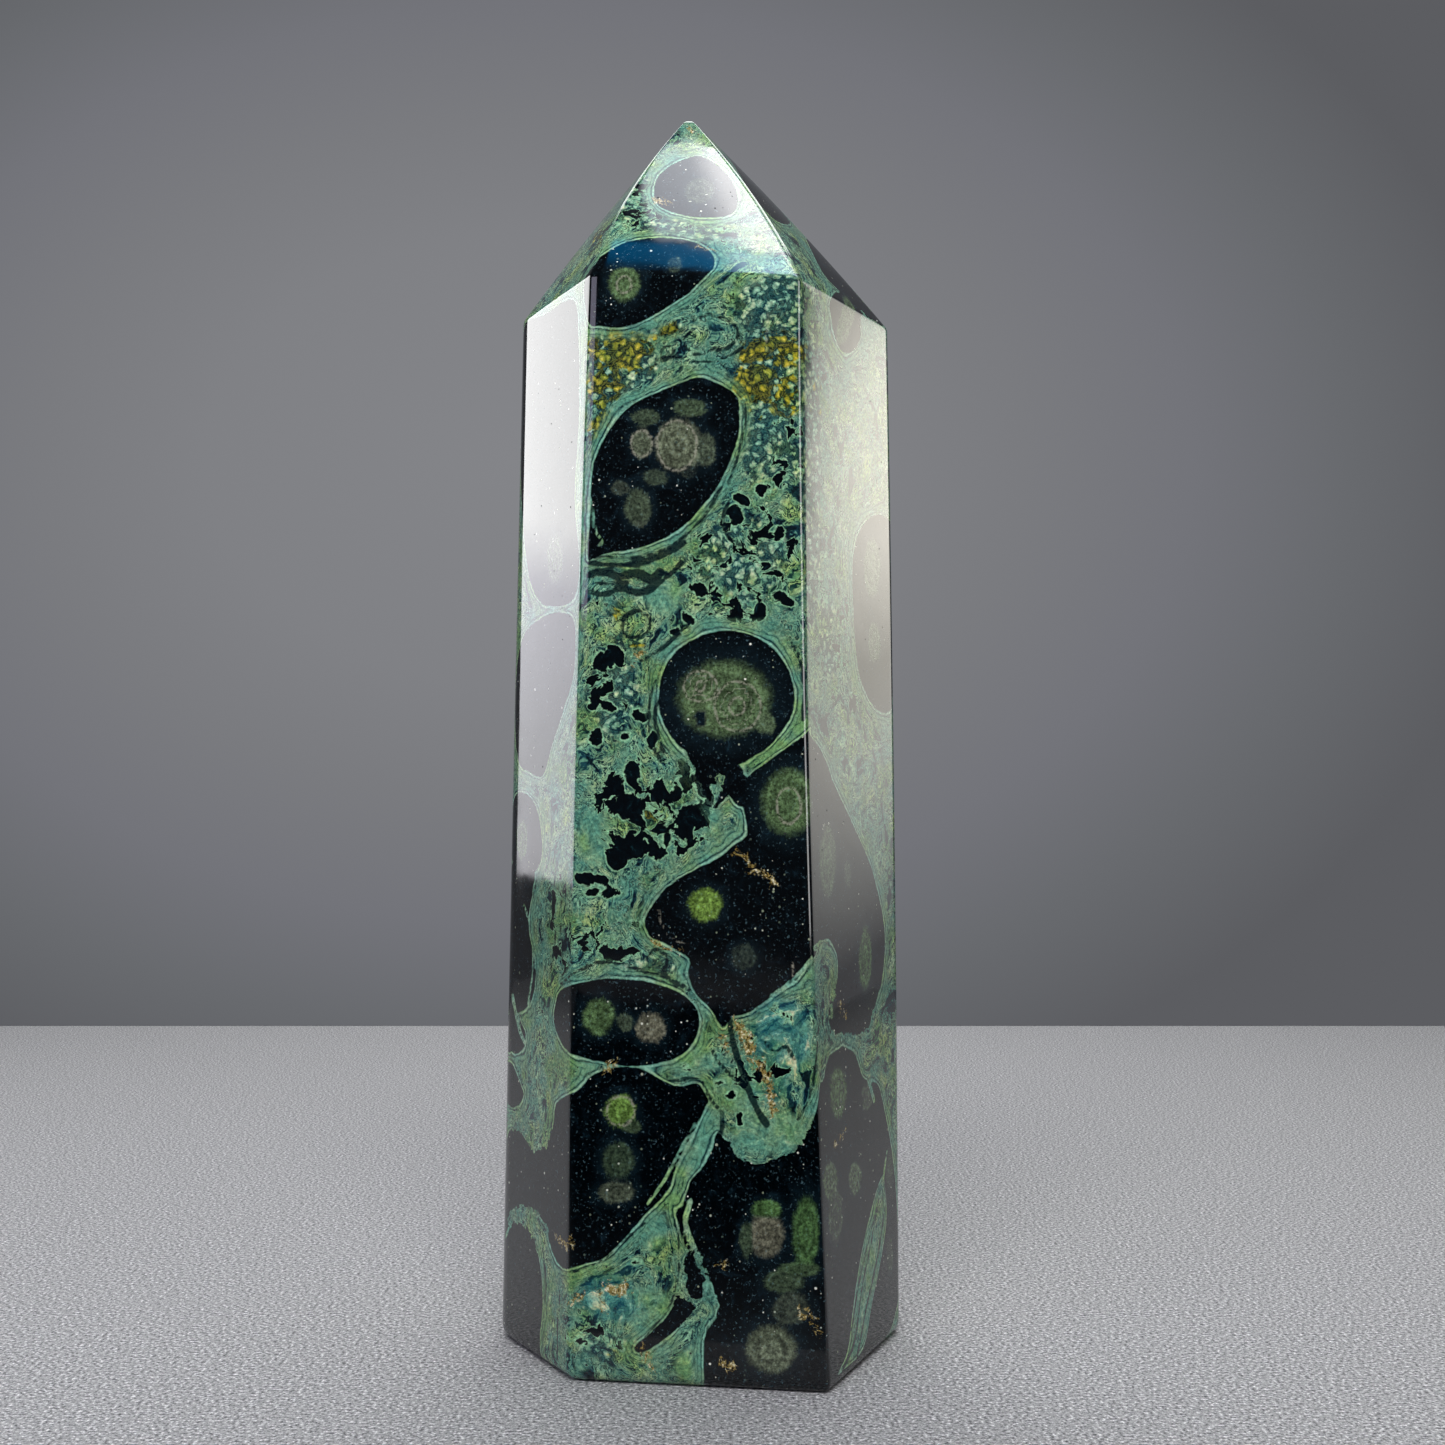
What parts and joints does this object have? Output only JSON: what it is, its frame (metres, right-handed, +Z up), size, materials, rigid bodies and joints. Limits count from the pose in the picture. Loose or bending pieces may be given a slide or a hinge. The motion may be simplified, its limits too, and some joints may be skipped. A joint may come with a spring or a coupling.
{
  "type": "kambaba jasper obelisk",
  "caption": "Polished kambaba jasper tower: a tapered hexagonal column of dark green orb-patterned stone, ground to a faceted point and standing on a flat foot.",
  "frame": {"origin": "middle of the foot's outline, on the surface that the stone stands on", "axes": "+Z up along the column to the point; the broad front face looks along -Y, and +X is to its right"},
  "size_m": [0.0636, 0.0604, 0.2],
  "materials": {
    "polished_stone": "kambaba jasper under a glassy hand polish: near-black blue-green orbs with grey-green eyes in swirling celadon green"
  },
  "bodies": {
    "root": {"obelisk": "polished_stone"}
  },
  "joints": []
}
